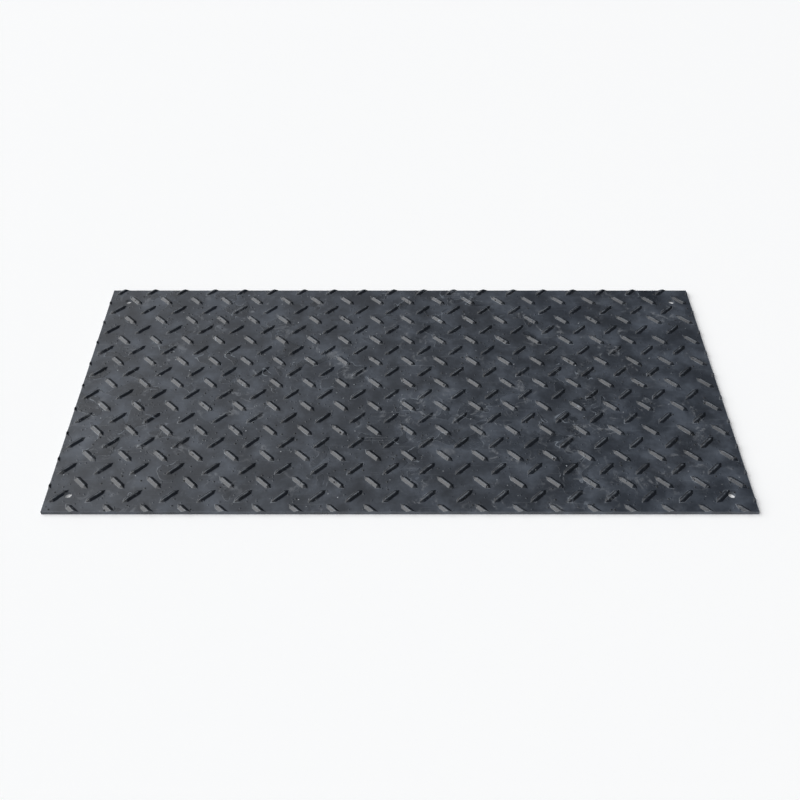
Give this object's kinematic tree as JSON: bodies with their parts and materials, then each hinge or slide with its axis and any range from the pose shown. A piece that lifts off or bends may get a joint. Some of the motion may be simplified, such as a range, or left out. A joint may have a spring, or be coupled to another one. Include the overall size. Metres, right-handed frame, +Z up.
{
  "type": "ground protection mat",
  "caption": "Rectangular plastic ground protection mat, smooth underneath, with a raised lug tread on top and a plain round hole near each corner.",
  "frame": {"origin": "middle of the smooth underside, which lies on the ground", "axes": "+X along the length, +Y across the width, +Z up out of the treaded face"},
  "size_m": [2.4384, 1.2192, 0.0191],
  "materials": {
    "hdpe": "semi-matt moulded charcoal plastic, sawn at the edges"
  },
  "bodies": {
    "root": {"ground_mat": "hdpe"}
  },
  "joints": []
}
